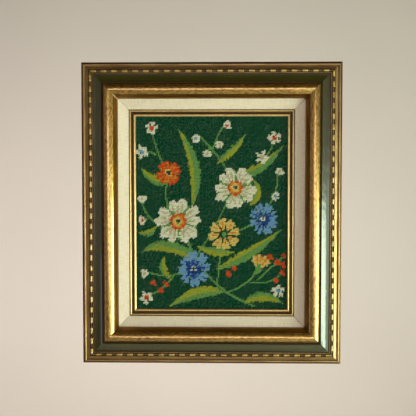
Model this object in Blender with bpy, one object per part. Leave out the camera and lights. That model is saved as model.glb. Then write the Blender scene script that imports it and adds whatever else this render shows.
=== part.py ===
"""Framed needlepoint canvas panel, upright as it hangs on a wall.

The stitched canvas lies on a backing board. A gilt slip holds its edges, a linen-covered liner
holds the slip, and a mitred wooden moulding with a painted cove and a gilt torus holds them all.

Metres, +Z up. The front faces -Y, +X is to the viewer's right, and the wall is the plane y = 0.
The origin is the middle of the top rail's flat back.
"""

import math

import bmesh
import bpy

# Overall size, and the width of each ring of rails as seen from the front
FRAME_WIDTH = 0.331
FRAME_HEIGHT = 0.385
MOULDING_WIDTH = 0.0453
LINER_SHOWS = 0.0128
SLIP_SHOWS = 0.0091

# Pieces that touch stand this far apart
FIT_GAP = 0.0003

# Moulding section: insets are measured inward from the outer side, rises outward from the wall.
# The recess behind the board is a little wider than the rabbet, and a hook can hold its top face.
RABBET_INSET = 0.0390
RABBET_RISE = 0.0216
RECESS_INSET = 0.0386
RECESS_RISE = 0.0062
SIDE_RISE = 0.0285
SHOULDER_END = (0.0019, 0.0305)
SHOULDER_SWELL = 0.0006
OUTER_RIDGE_END = (0.0050, 0.0299)
OUTER_RIDGE_SWELL = 0.0014
BEAD_GROOVE_START = 0.0092
BEAD_GROOVE_END = 0.0136
BEAD_GROOVE_RISE = 0.0299
BEAD_BANK_RISE = 0.0317
FILLET_RISE = 0.0306
FILLET_END = 0.0152
COVE_START = (0.0154, 0.0290)
COVE_END = (0.0254, 0.0322)
COVE_DEPTH = 0.0008
TORUS_START = (0.0266, 0.0288)
TORUS_CREST = (0.0353, 0.0353)
TORUS_END = (0.0408, 0.0326)
TORUS_OUTER_SWELL = 0.0023
TORUS_INNER_SWELL = 0.0004
LIP_START = (0.0412, 0.0312)
LIP_END_RISE = 0.0226
LIP_SWELL = 0.0007

# Half-round bead strip that lies in the groove
BEAD_WIDTH = 0.0028
BEAD_HEIGHT = 0.0027

# Linen-covered liner
LINER_TOP_RISE = RABBET_RISE - FIT_GAP
LINER_SLOPE_START = 0.0440
LINER_NOSE_DEPTH = 0.0011
LINER_NOSE_RISE = 0.0157
LINER_NOSE_SWELL = 0.0003
LINER_LIP_RISE = 0.0139
LINER_FOOT_END = 0.0520

# Gilt slip: two ridges with a scoop between them, the inner one at the sight edge
SLIP_FOOT_RISE = LINER_LIP_RISE - FIT_GAP
SLIP_OUTER_RIDGE = ((0.0590, 0.0142), (0.0611, 0.0142))
SLIP_OUTER_RIDGE_SWELL = 0.0009
SLIP_INNER_RIDGE = ((0.0642, 0.0140), (0.0669, 0.0138))
SLIP_INNER_RIDGE_SWELL = 0.0009
SLIP_SCOOP_DEPTH = 0.0009
SLIP_SIGHT_RISE = 0.0136
SLIP_SIGHT_THICKNESS = 0.0013

# Backing board, and the stitched canvas in front of it
BOARD_BACK = 0.0065
BOARD_THICKNESS = 0.0030
CANVAS_THICKNESS = 0.0022
CANVAS_LIP = 0.0030
CANVAS_CROWN = 0.0004
CANVAS_GRID = (12, 16)

BOARD_FRONT = BOARD_BACK + BOARD_THICKNESS
SEAT_RISE = BOARD_FRONT + FIT_GAP
LINER_SIGHT = MOULDING_WIDTH + LINER_SHOWS
SIGHT_INSET = LINER_SIGHT + SLIP_SHOWS
FRAME_TOP = RECESS_INSET / 2
FRAME_MIDDLE = FRAME_TOP - FRAME_HEIGHT / 2

# One row for each side: unit vector along the rail, unit vector inward across it, half of its length
SIDES = {
    "top": ((1, 0), (0, -1), FRAME_WIDTH / 2),
    "bottom": ((-1, 0), (0, 1), FRAME_WIDTH / 2),
    "left": ((0, 1), (1, 0), FRAME_HEIGHT / 2),
    "right": ((0, -1), (-1, 0), FRAME_HEIGHT / 2),
}


def remove_all_objects():
    """Empty the scene of objects."""
    for old in list(bpy.data.objects):
        bpy.data.objects.remove(old, do_unlink=True)


def make_material(name, colour, roughness, metallic):
    """One Principled material with a plain colour."""
    material = bpy.data.materials.new(name)
    material.use_nodes = True
    shader = material.node_tree.nodes["Principled BSDF"]
    shader.inputs["Base Color"].default_value = (*colour, 1.0)
    shader.inputs["Roughness"].default_value = roughness
    shader.inputs["Metallic"].default_value = metallic
    return material


def arc(start, end, swell, steps):
    """Points of a circular arc, both ends included. swell lifts its middle off the chord."""
    along_u = end[0] - start[0]
    along_v = end[1] - start[1]
    chord = math.hypot(along_u, along_v)
    half_angle = 2 * math.atan(2 * swell / chord)
    radius = chord / (2 * math.sin(half_angle))
    points = []
    for step in range(steps + 1):
        angle = half_angle * (2 * step / steps - 1)
        along = 0.5 + radius * math.sin(angle) / chord
        lift = radius * (math.cos(angle) - math.cos(half_angle)) / chord
        points.append((start[0] + along * along_u - lift * along_v,
                       start[1] + along * along_v + lift * along_u))
    return points


def moulding_section():
    """Outline of the moulding: outer side, front from shoulder to lip, rabbet, and recess."""
    outline = [(0.0, 0.0)]
    outline += arc((0.0, SIDE_RISE), SHOULDER_END, SHOULDER_SWELL, 5)
    outline += arc(SHOULDER_END, OUTER_RIDGE_END, OUTER_RIDGE_SWELL, 9)[1:]
    outline.append((BEAD_GROOVE_START, BEAD_BANK_RISE))
    outline.append((BEAD_GROOVE_START, BEAD_GROOVE_RISE))
    outline.append((BEAD_GROOVE_END, BEAD_GROOVE_RISE))
    outline.append((BEAD_GROOVE_END, FILLET_RISE))
    outline.append((FILLET_END, FILLET_RISE))
    outline += arc(COVE_START, COVE_END, -COVE_DEPTH, 14)
    outline.append((COVE_END[0], TORUS_START[1]))
    outline += arc(TORUS_START, TORUS_CREST, TORUS_OUTER_SWELL, 18)
    outline += arc(TORUS_CREST, TORUS_END, TORUS_INNER_SWELL, 8)[1:]
    outline += arc(LIP_START, (MOULDING_WIDTH, LIP_END_RISE), LIP_SWELL, 6)
    outline.append((MOULDING_WIDTH, RABBET_RISE))
    outline.append((RABBET_INSET, RABBET_RISE))
    outline.append((RABBET_INSET, RECESS_RISE))
    outline.append((RECESS_INSET, RECESS_RISE))
    outline.append((RECESS_INSET, 0.0))
    return outline


def bead_section():
    """Outline of the bead strip, seated on the floor of its groove."""
    middle = (BEAD_GROOVE_START + BEAD_GROOVE_END) / 2
    base = BEAD_GROOVE_RISE + FIT_GAP
    half = BEAD_WIDTH / 2
    shoulder = base + BEAD_HEIGHT - half
    outline = [(middle - half, base)]
    outline += arc((middle - half, shoulder), (middle + half, shoulder), half, 10)
    outline.append((middle + half, base))
    return outline


def liner_section():
    """Outline of the liner: its foot on the board, and its face sloping down to the sight edge."""
    foot_start = RABBET_INSET + FIT_GAP
    nose_start = (LINER_SIGHT - LINER_NOSE_DEPTH, LINER_NOSE_RISE)
    nose_end = (LINER_SIGHT, LINER_NOSE_RISE - LINER_NOSE_DEPTH)
    outline = [(foot_start, SEAT_RISE), (foot_start, LINER_TOP_RISE)]
    outline.append((LINER_SLOPE_START, LINER_TOP_RISE))
    outline += arc(nose_start, nose_end, LINER_NOSE_SWELL, 6)
    outline.append((LINER_SIGHT, LINER_LIP_RISE))
    outline.append((LINER_FOOT_END, LINER_LIP_RISE))
    outline.append((LINER_FOOT_END, SEAT_RISE))
    return outline


def slip_section():
    """Outline of the gilt slip: foot under the liner, two ridges, and a lip over the canvas."""
    foot_start = LINER_FOOT_END + FIT_GAP
    rabbet = SIGHT_INSET - CANVAS_LIP - FIT_GAP
    outer_start, outer_end = SLIP_OUTER_RIDGE
    inner_start, inner_end = SLIP_INNER_RIDGE
    outline = [(foot_start, SEAT_RISE), (foot_start, SLIP_FOOT_RISE)]
    outline.append((outer_start[0], SLIP_FOOT_RISE))
    outline += arc(outer_start, outer_end, SLIP_OUTER_RIDGE_SWELL, 6)
    outline += arc(outer_end, inner_start, -SLIP_SCOOP_DEPTH, 7)[1:]
    outline += arc(inner_start, inner_end, SLIP_INNER_RIDGE_SWELL, 7)[1:]
    outline.append((SIGHT_INSET, SLIP_SIGHT_RISE))
    outline.append((SIGHT_INSET, SLIP_SIGHT_RISE - SLIP_SIGHT_THICKNESS))
    outline.append((rabbet, SLIP_SIGHT_RISE - SLIP_SIGHT_THICKNESS))
    outline.append((rabbet, SEAT_RISE))
    return outline


def add_object(name, mesh_data, material, location=(0, 0, 0)):
    """Finish a bmesh as a closed outward mesh and link it as an object."""
    bmesh.ops.recalc_face_normals(mesh_data, faces=mesh_data.faces)
    mesh = bpy.data.meshes.new(name)
    mesh_data.to_mesh(mesh)
    mesh_data.free()
    mesh.materials.append(material)
    piece = bpy.data.objects.new(name, mesh)
    piece.location = location
    bpy.context.scene.collection.objects.link(piece)
    return piece


def mitred_rail(name, section, side, material):
    """A straight rail of the given section, its ends cut at 45 degrees with half a gap each."""
    along, inward, half_length = SIDES[side]
    cut_back = FIT_GAP / math.sqrt(2)
    outer_x = -inward[0] * FRAME_WIDTH / 2
    outer_z = FRAME_MIDDLE - inward[1] * FRAME_HEIGHT / 2
    mesh_data = bmesh.new()
    rings = []
    for end in (-1, 1):
        ring = []
        for inset, rise in section:
            reach = end * (half_length - inset - cut_back)
            x = outer_x + inward[0] * inset + along[0] * reach
            z = outer_z + inward[1] * inset + along[1] * reach
            ring.append(mesh_data.verts.new((x, -rise, z)))
        rings.append(ring)
    count = len(section)
    for index in range(count):
        follower = (index + 1) % count
        mesh_data.faces.new((rings[0][index], rings[0][follower],
                             rings[1][follower], rings[1][index]))
    caps = [mesh_data.faces.new(ring) for ring in rings]
    bmesh.ops.triangulate(mesh_data, faces=caps)
    rail = add_object(name, mesh_data, material)
    rail.data.shade_smooth()
    rail.data.set_sharp_from_angle(angle=math.radians(35))
    return rail


def backing_board(material):
    """Flat board that fills the rabbet behind the liner."""
    width = FRAME_WIDTH - 2 * (RABBET_INSET + FIT_GAP)
    height = FRAME_HEIGHT - 2 * (RABBET_INSET + FIT_GAP)
    mesh_data = bmesh.new()
    bmesh.ops.create_cube(mesh_data, size=1.0)
    bmesh.ops.scale(mesh_data, vec=(width, BOARD_THICKNESS, height), verts=mesh_data.verts)
    middle = -(BOARD_BACK + BOARD_THICKNESS / 2)
    return add_object("backing_board", mesh_data, material, (0, middle, FRAME_MIDDLE))


def needlepoint_canvas(material):
    """The stitched canvas: one even sheet, its middle a little proud of its held edges."""
    width = FRAME_WIDTH - 2 * (SIGHT_INSET - CANVAS_LIP)
    height = FRAME_HEIGHT - 2 * (SIGHT_INSET - CANVAS_LIP)
    across, up = CANVAS_GRID
    mesh_data = bmesh.new()
    bmesh.ops.create_grid(mesh_data, x_segments=across, y_segments=up, size=0.5)
    for vert in mesh_data.verts:
        u, v = vert.co.x, vert.co.y
        crown = CANVAS_CROWN * math.cos(math.pi * u) * math.cos(math.pi * v)
        vert.co = (u * width, -crown, v * height)
    front_seat = -(SEAT_RISE + CANVAS_THICKNESS / 2)
    sheet = add_object("needlepoint_canvas", mesh_data, material, (0, front_seat, FRAME_MIDDLE))
    thickness = sheet.modifiers.new("thickness", "SOLIDIFY")
    thickness.thickness = CANVAS_THICKNESS
    thickness.offset = 0.0
    return sheet


def build():
    remove_all_objects()
    finishes = {
        "moulding": make_material("gilt_and_painted_wood", (0.42, 0.27, 0.09), 0.42, 0.6),
        "bead_strip": make_material("gilt_composition", (0.50, 0.36, 0.16), 0.45, 0.6),
        "liner": make_material("linen", (0.72, 0.66, 0.46), 0.9, 0.0),
        "slip": make_material("gilt_slip", (0.60, 0.42, 0.16), 0.35, 0.8),
        "canvas": make_material("wool_yarn", (0.01, 0.05, 0.02), 0.95, 0.0),
        "board": make_material("hardboard", (0.22, 0.13, 0.06), 0.8, 0.0),
    }
    sections = {
        "moulding": moulding_section(),
        "bead_strip": bead_section(),
        "liner": liner_section(),
        "slip": slip_section(),
    }
    for family, section in sections.items():
        for side in SIDES:
            mitred_rail(f"{family}_{side}", section, side, finishes[family])
    needlepoint_canvas(finishes["canvas"])
    backing_board(finishes["board"])


build()
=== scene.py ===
"""Looks of a framed needlepoint canvas panel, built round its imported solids.

Metres, +Z up. The front faces -Y and the wall is the plane y = 0. On every rail, inset is the
distance in from the frame's outer side, and rise is the distance out from the wall.
"""
import math

import bpy
import numpy as np
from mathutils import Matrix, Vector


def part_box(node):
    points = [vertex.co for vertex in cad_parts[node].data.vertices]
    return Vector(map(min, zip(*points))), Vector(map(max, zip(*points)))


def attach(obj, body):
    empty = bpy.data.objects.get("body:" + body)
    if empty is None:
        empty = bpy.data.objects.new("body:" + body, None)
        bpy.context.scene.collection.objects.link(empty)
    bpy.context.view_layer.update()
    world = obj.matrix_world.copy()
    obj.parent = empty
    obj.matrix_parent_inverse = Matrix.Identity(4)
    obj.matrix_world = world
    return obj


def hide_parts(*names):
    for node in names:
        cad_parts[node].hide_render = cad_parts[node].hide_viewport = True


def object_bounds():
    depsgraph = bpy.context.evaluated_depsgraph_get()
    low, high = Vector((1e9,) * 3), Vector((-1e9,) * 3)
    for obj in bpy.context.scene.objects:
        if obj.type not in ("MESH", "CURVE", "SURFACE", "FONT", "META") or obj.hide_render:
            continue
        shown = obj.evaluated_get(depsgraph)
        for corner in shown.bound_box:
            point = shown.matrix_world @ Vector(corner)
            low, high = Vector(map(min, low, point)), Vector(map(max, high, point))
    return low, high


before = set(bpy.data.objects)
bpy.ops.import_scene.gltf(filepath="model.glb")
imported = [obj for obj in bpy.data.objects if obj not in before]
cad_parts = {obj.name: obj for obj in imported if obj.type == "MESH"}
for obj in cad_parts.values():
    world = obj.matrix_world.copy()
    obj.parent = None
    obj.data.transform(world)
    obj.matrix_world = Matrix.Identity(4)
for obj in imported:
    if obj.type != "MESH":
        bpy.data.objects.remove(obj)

CAD_BOX = [list(corner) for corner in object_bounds()]

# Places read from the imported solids
FRAME_WIDTH = CAD_BOX[1][0] - CAD_BOX[0][0]
FRAME_HEIGHT = CAD_BOX[1][2] - CAD_BOX[0][2]
MIDDLE_X = (CAD_BOX[0][0] + CAD_BOX[1][0]) / 2
MIDDLE_Z = (CAD_BOX[0][2] + CAD_BOX[1][2]) / 2
MOULDING_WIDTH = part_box("moulding_left")[1].x - CAD_BOX[0][0]
LINER_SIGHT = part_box("liner_left")[1].x - CAD_BOX[0][0]
SIGHT_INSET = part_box("slip_left")[1].x - CAD_BOX[0][0]
SEAT_RISE = -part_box("liner_left")[1].y
CANVAS_LOW, CANVAS_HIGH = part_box("needlepoint_canvas")
CANVAS_WIDTH = CANVAS_HIGH.x - CANVAS_LOW.x
CANVAS_HEIGHT = CANVAS_HIGH.z - CANVAS_LOW.z
BEAD_BASE = -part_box("bead_strip_left")[1].y
BEAD_CREST = -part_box("bead_strip_left")[0].y
BEAD_LEFT, BEAD_RIGHT = (corner.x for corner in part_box("bead_strip_left"))
BEAD_INSET = (BEAD_LEFT + BEAD_RIGHT) / 2 - CAD_BOX[0][0]

# Moulding section
RABBET_INSET = 0.0390
RABBET_RISE = 0.0216
RECESS_INSET = 0.0386
RECESS_RISE = 0.0062
SIDE_RISE = 0.0285
SHOULDER_END = (0.0019, 0.0305)
OUTER_RIDGE_END = (0.0050, 0.0299)
BEAD_GROOVE = (0.0092, 0.0136)
BEAD_GROOVE_RISE = 0.0299
BEAD_BANK_RISE = 0.0317
FILLET_RISE = 0.0306
FILLET_END = 0.0152
COVE_START = (0.0154, 0.0290)
COVE_END = (0.0254, 0.0322)
TORUS_START = (0.0266, 0.0288)
TORUS_CREST = (0.0353, 0.0353)
TORUS_END = (0.0408, 0.0326)
LIP_START = (0.0412, 0.0312)
LIP_END_RISE = 0.0226

# Liner and slip sections
LINER_SLOPE_START = 0.0440
LINER_NOSE_DEPTH = 0.0011
LINER_NOSE_RISE = 0.0157
LINER_LIP_RISE = 0.0139
LINER_FOOT_END = 0.0520
SLIP_OUTER_RIDGE = ((0.0590, 0.0142), (0.0611, 0.0142))
SLIP_INNER_RIDGE = ((0.0642, 0.0140), (0.0669, 0.0138))
SLIP_SIGHT_RISE = 0.0136
SLIP_SIGHT_THICKNESS = 0.0013
FIT_GAP = 0.0003

# Bead and reel row: a long reel, then two small round beads. What is narrower than the half
# width set for it gets dark glaze and painted shade, and the row leans into the mitre over its
# last few millimetres
BEAD_REPEAT = 0.0133
REEL_LENGTH = 0.0076
REEL_HALF_WIDTH = 0.00165
SMALL_BEAD_LENGTH = 0.0019
SMALL_BEAD_HALF_WIDTH = 0.00062
BEAD_GAP = 0.00060
BEAD_NECK_HALF_WIDTH = 0.0003
FULL_HEIGHT_HALF_WIDTH = 0.0014
GLAZE_AND_SHADE_HALF_WIDTH = 0.0011
BEAD_STATION_STEP = 0.00036
BEAD_MITRE_LENGTH = 0.004

# Mitres: the gap across each joint, how far the liner's top right joint has opened at its outer
# end, where along the joint it closes, and where the gilding is cracked off at the top left
MOULDING_MITRE_GAP = 0.00006
LINER_MITRE_GAP = 0.00030
SLIP_MITRE_GAP = 0.00008
OPENED_MITRE_GAP = 0.00020
OPENED_MITRE_WIDENING = 0.0007
OPENED_MITRE_SHARE = 0.62
CHIP_START_INSET = TORUS_CREST[0] + 0.0045

# Hand-made unevenness: how far each rail's shown faces wander, over what lengths, and from
# what rise they show
MOULDING_RELIEF = 0.00006
LINER_RELIEF = 0.00008
SLIP_RELIEF = 0.00005
LONG_WANDER = 0.034
SHORT_WANDER = 0.009
SHOWN_RISE = 0.0130

# Needlepoint: 14-mesh canvas, so one stitch every 1.81 mm, worked a little past the slip's lip
STITCH_PITCH = 0.0254 / 14
COLUMNS = int(CANVAS_WIDTH / STITCH_PITCH)
ROWS = int(CANVAS_HEIGHT / STITCH_PITCH)
CANVAS_CLOTH_THICKNESS = 0.0010
CANVAS_CROWN = 0.0004
STITCH_HALF_LENGTH = 0.00138
STITCH_HALF_WIDTH = 0.00070
STITCH_HALF_HEIGHT = 0.00058
STITCH_END_SINK = 0.00050
STITCH_PLACE_SPREAD = 0.00004
LINEN_THREAD_SPACING = 0.0010

# First seed of each kind of piece
MOULDING_SEED, BEAD_SEED, LINER_SEED, SLIP_SEED, STITCH_SEED = 40, 50, 60, 70, 80

# Finish numbers: places in the moulding's, the liner's and the slip's lists of materials
# The dark glaze finish and the slip's dark groove finish are glaze together with painted shade
PINE, UMBER_AND_SHADE, GOLD, BRONZE, OLIVE, AMBER_BRONZE, DARK_GLAZE_AND_SHADE, BURNISHED_BROWN, GESSO = range(9)
LINEN = 1
BRIGHT_LEAF, DARK_GROOVE_AND_SHADE = 1, 2

# Colour sockets of a Mix node, which share their names with its other sockets
MIX_FIRST, MIX_SECOND, MIX_RESULT = 6, 7, 2


def srgb(code):
    """Linear RGBA of an sRGB colour written as #RRGGBB."""
    channels = [int(code[start:start + 2], 16) / 255 for start in (1, 3, 5)]
    linear = [c / 12.92 if c <= 0.04045 else ((c + 0.055) / 1.055) ** 2.4 for c in channels]
    return (*linear, 1.0)


def grey(value):
    return (value, value, value, 1.0)


def add_node(tree, kind, inputs=None, output=0, stops=None, **settings):
    """Add a shader node with its settings, a ramp's stops, and its inputs' values or links.

    Gives the output that is asked for by its number or name.
    """
    made = tree.nodes.new("ShaderNode" + kind)
    for name, value in settings.items():
        setattr(made, name, value)
    if stops:
        elements = made.color_ramp.elements
        elements[0].position, elements[0].color = stops[0]
        elements[1].position, elements[1].color = stops[-1]
        for position, colour in stops[1:-1]:
            elements.new(position).color = colour
    for name, value in (inputs or {}).items():
        if isinstance(value, bpy.types.NodeSocket):
            tree.links.new(value, made.inputs[name])
        else:
            made.inputs[name].default_value = value
    return made.outputs[output]


def new_material(name, **constants):
    """A material with a Principled shader, whose constant sockets are named with underscores."""
    material = bpy.data.materials.new(name)
    material.use_nodes = True
    shader = material.node_tree.nodes["Principled BSDF"]
    for socket, value in constants.items():
        shader.inputs[socket.replace("_", " ")].default_value = value
    return material, material.node_tree, shader


def run_noise(tree, scale_along, scale_across, detail, roughness, shift=0.0):
    """Noise laid out along a rail: scales are features per metre along it and across it."""
    place = add_node(tree, "UVMap", uv_map="run")
    stretched = add_node(tree, "Mapping", {
        "Vector": place,
        "Location": (shift, shift * 0.37, shift * 0.11),
        "Scale": (scale_along, scale_across, 1.0),
    })
    return add_node(tree, "TexNoise", {
        "Vector": stretched, "Scale": 1.0, "Detail": detail, "Roughness": roughness,
    }, "Fac")


def piece_noise(tree, scale, detail, roughness):
    """Noise even in all directions: scale is features per metre."""
    place = add_node(tree, "TexCoord", output="Object")
    return add_node(tree, "TexNoise", {
        "Vector": place, "Scale": scale, "Detail": detail, "Roughness": roughness,
    }, "Fac")


def thread_waves(tree, spacing):
    """Waves along the warp and along the weft, of one thread's spacing each."""
    place = add_node(tree, "UVMap", uv_map="run")
    waves = []
    for axis in "XY":
        distance = add_node(tree, "SeparateXYZ", {"Vector": place}, axis)
        turn = add_node(tree, "Math", {0: distance, 1: 2 * math.pi / spacing},
                        operation="MULTIPLY")
        waves.append(add_node(tree, "Math", {0: turn}, operation="SINE"))
    return waves


def darkened(tree, colour, shade):
    """A colour multiplied by a grey shade."""
    return add_node(tree, "Mix", {0: 1.0, MIX_FIRST: colour, MIX_SECOND: shade}, MIX_RESULT,
                    data_type="RGBA", blend_type="MULTIPLY")


def lay_finish(tree, shader, colour, relief, depth, strength):
    """Join a colour and a relief of a depth in metres to the shader."""
    raised = add_node(tree, "Bump", {"Height": relief, "Distance": depth, "Strength": strength})
    tree.links.new(colour, shader.inputs["Base Color"])
    tree.links.new(raised, shader.inputs["Normal"])


def antique_gold_leaf(name, leaf, shade, glaze_and_shade_colour, wear, rough, metallic=0.95):
    """Gold leaf over red bole and gesso, rubbed by hand and toned with a dark glaze.

    The eye gets mottled satin gold with brown in the hollows and fine streaks along the rail. The
    brown is glaze, and where a mesh's points ask for it, painted shade as well. The higher wear
    is, the fewer the streaks. rough is the roughness of clean leaf and of leaf under glaze and
    painted shade.
    """
    material, tree, shader = new_material(
        name, Metallic=metallic, Coat_Weight=1.0, Coat_IOR=1.65, Coat_Roughness=0.13,
        Anisotropic=0.45, Anisotropic_Rotation=0.25)
    tangent = add_node(tree, "Tangent", direction_type="UV_MAP", uv_map="run")
    tree.links.new(tangent, shader.inputs["Tangent"])
    mottle = run_noise(tree, 190, 480, 5.0, 0.62)
    streak = run_noise(tree, 45, 900, 3.0, 0.5, 3.1)
    cloud = run_noise(tree, 22, 60, 2.0, 0.5, 7.7)
    mottled = add_node(tree, "ValToRGB", {"Fac": mottle},
                       stops=[(0.36, srgb(shade)), (0.60, srgb(leaf))])
    drift = add_node(tree, "ValToRGB", {"Fac": cloud},
                     stops=[(0.3, grey(0.72)), (0.7, grey(1.0))])
    rubbed = add_node(tree, "ValToRGB", {"Fac": streak},
                      stops=[(wear, grey(0.0)), (wear + 0.16, grey(0.55))])
    hold = add_node(tree, "ValToRGB", {"Fac": mottle},
                    stops=[(0.25, grey(1.0)), (0.8, grey(0.55))])
    # How much dark glaze and painted shade lie at each point of the mesh
    glaze_and_shade = add_node(tree, "Attribute", output="Fac", attribute_name="glaze_and_shade")
    glaze_and_shade_sum = add_node(tree, "Math", {0: rubbed, 1: 0.8, 2: glaze_and_shade}, operation="MULTIPLY_ADD")
    held_glaze_and_shade = add_node(tree, "Math", {0: glaze_and_shade_sum, 1: hold}, operation="MULTIPLY", use_clamp=True)
    colour = add_node(tree, "Mix", {
        0: held_glaze_and_shade, MIX_FIRST: darkened(tree, mottled, drift), MIX_SECOND: srgb(glaze_and_shade_colour),
    }, MIX_RESULT, data_type="RGBA")
    dullness = add_node(tree, "ValToRGB", {"Fac": held_glaze_and_shade},
                        stops=[(0.0, grey(rough[0])), (0.9, grey(rough[1]))])
    tree.links.new(dullness, shader.inputs["Roughness"])
    relief = add_node(tree, "Math", {0: streak, 1: 0.8, 2: mottle}, operation="MULTIPLY_ADD")
    lay_finish(tree, shader, colour, relief, 0.00014, 0.8)
    return material


def brushed_coat(name, light, dark, rough, metallic):
    """Bronze powder paint, or gesso with no metal in it, streaked along the rail by the brush.

    The eye gets a dull metallic brown from the paint and a pale, chalky patch from the gesso.
    """
    material, tree, shader = new_material(name, Metallic=metallic, Roughness=rough)
    streak = run_noise(tree, 30, 700, 4.0, 0.55)
    speck = run_noise(tree, 500, 500, 3.0, 0.6, 2.3)
    colour = add_node(tree, "ValToRGB", {"Fac": streak},
                      stops=[(0.3, srgb(dark)), (0.7, srgb(light))])
    fleck = add_node(tree, "ValToRGB", {"Fac": speck},
                     stops=[(0.35, grey(0.75)), (0.65, grey(1.0))])
    lay_finish(tree, shader, darkened(tree, colour, fleck), speck, 0.00012, 0.6)
    return material


def olive_paint():
    """Olive oil paint under a thin varnish, brushed along the cove: smooth, dark and glossy."""
    material, tree, shader = new_material("brushed_olive_paint", Roughness=0.25, Coat_Weight=1.0,
                                          Coat_Roughness=0.16, Coat_IOR=1.7)
    streak = run_noise(tree, 14, 620, 4.0, 0.55)
    cloud = run_noise(tree, 30, 90, 3.0, 0.5, 5.0)
    colour = add_node(tree, "ValToRGB", {"Fac": streak},
                      stops=[(0.3, srgb("#2E2C0A")), (0.72, srgb("#3E3B14"))])
    drift = add_node(tree, "ValToRGB", {"Fac": cloud},
                     stops=[(0.3, grey(0.82)), (0.7, grey(1.0))])
    lay_finish(tree, shader, darkened(tree, colour, drift), streak, 0.0001, 0.5)
    return material


def umber_stain_and_shade():
    """Umber stain on the moulding's outer side: brushed wood with a low shine.

    It is made near black, so that it also paints the shade that falls on that side.
    """
    material, tree, shader = new_material("umber_stain_and_painted_shade", Roughness=0.5)
    grain = run_noise(tree, 12, 500, 5.0, 0.6)
    colour = add_node(tree, "ValToRGB", {"Fac": grain},
                      stops=[(0.3, srgb("#120802")), (0.7, srgb("#241204"))])
    lay_finish(tree, shader, colour, grain, 0.00015, 0.6)
    return material


def raw_pine():
    """Planed pine, never finished: pale, matt, with long dark grain lines 2 to 4 mm apart."""
    material, tree, shader = new_material("planed_pine", Roughness=0.75)
    grain = run_noise(tree, 6, 330, 3.0, 0.5)
    fibre = run_noise(tree, 60, 2400, 2.0, 0.5, 4.0)
    colour = add_node(tree, "ValToRGB", {"Fac": grain}, stops=[
        (0.36, srgb("#B98A55")), (0.5, srgb("#D9B483")), (0.64, srgb("#C79A63"))])
    shade = add_node(tree, "ValToRGB", {"Fac": fibre},
                     stops=[(0.3, grey(0.86)), (0.7, grey(1.0))])
    lay_finish(tree, shader, darkened(tree, colour, shade), fibre, 0.0001, 0.5)
    return material


def woven_linen():
    """Slubbed linen, plain woven and glued over wood: cream, matt, with thick and thin threads.

    Its threads are about 0.7 mm apart; they are drawn 1.0 mm apart to show at all.
    """
    material, tree, shader = new_material("woven_linen", Roughness=0.92, Sheen_Weight=0.15,
                                          Sheen_Roughness=0.5)
    warp, weft = thread_waves(tree, LINEN_THREAD_SPACING)
    weave = add_node(tree, "Math", {0: warp, 1: weft}, operation="MULTIPLY")
    slub_along = run_noise(tree, 55, 1100, 2.0, 0.5)
    slub_across = run_noise(tree, 1100, 70, 2.0, 0.5, 9.0)
    slubs = add_node(tree, "Math", {0: slub_along, 1: slub_across}, operation="ADD")
    mean_slub = add_node(tree, "Math", {0: slubs, 1: 0.5}, operation="MULTIPLY")
    colour = add_node(tree, "ValToRGB", {"Fac": mean_slub}, stops=[
        (0.36, srgb("#E6D2B8")), (0.5, srgb("#F0DECC")), (0.62, srgb("#F8E8D8"))])
    shade = add_node(tree, "ValToRGB", {"Fac": weave},
                     stops=[(0.0, grey(0.9)), (1.0, grey(1.0))])
    relief = add_node(tree, "Math", {0: weave, 1: 0.35, 2: slubs}, operation="MULTIPLY_ADD")
    lay_finish(tree, shader, darkened(tree, colour, shade), relief, 0.00025, 0.7)
    return material


def wool_yarn(name, code):
    """Crewel wool, dyed and loosely twisted: matt, a little hairy, each stitch its own shade.

    Its fibres are far finer than a pixel; they are drawn about 0.5 mm apart to show at all.
    """
    material, tree, shader = new_material(f"wool_{name}", Roughness=0.95, Sheen_Weight=0.03,
                                          Sheen_Roughness=0.5, Sheen_Tint=srgb(code),
                                          Specular_IOR_Level=0.05)
    shade = add_node(tree, "Attribute", output="Fac", attribute_name="shade")
    fibre = piece_noise(tree, 2200.0, 3.0, 0.6)
    fuzz = add_node(tree, "Math", {0: fibre, 1: 0.4}, operation="MULTIPLY")
    value = add_node(tree, "Math", {0: shade, 1: 0.6, 2: fuzz}, operation="MULTIPLY_ADD")
    gain = add_node(tree, "ValToRGB", {"Fac": value},
                    stops=[(0.15, grey(0.66)), (0.85, grey(1.0))])
    lay_finish(tree, shader, darkened(tree, srgb(code), gain), fibre, 0.0002, 0.7)
    return material


def cotton_canvas():
    """Ecru cotton canvas, 14 threads to the inch, stiff with size: pale, with an open grid."""
    material, tree, shader = new_material("woven_cotton_canvas", Roughness=0.85)
    warp, weft = (add_node(tree, "Math", {0: wave}, operation="ABSOLUTE")
                  for wave in thread_waves(tree, 2 * STITCH_PITCH))
    grid = add_node(tree, "Math", {0: warp, 1: weft}, operation="MAXIMUM")
    colour = add_node(tree, "ValToRGB", {"Fac": grid},
                      stops=[(0.35, srgb("#5C5240")), (0.6, srgb("#D8D0B4"))])
    lay_finish(tree, shader, colour, grid, 0.0004, 0.8)
    return material


def hardboard():
    """Pressed wood-fibre board: brown, matt, flecked with short fibres."""
    material, tree, shader = new_material("pressed_hardboard", Roughness=0.8)
    fibre = piece_noise(tree, 420.0, 5.0, 0.7)
    cloud = piece_noise(tree, 18.0, 2.0, 0.5)
    colour = add_node(tree, "ValToRGB", {"Fac": fibre}, stops=[
        (0.34, srgb("#5A3C22")), (0.5, srgb("#76522F")), (0.68, srgb("#93703F"))])
    drift = add_node(tree, "ValToRGB", {"Fac": cloud},
                     stops=[(0.3, grey(0.85)), (0.7, grey(1.0))])
    lay_finish(tree, shader, darkened(tree, colour, drift), fibre, 0.0003, 0.6)
    return material


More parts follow.
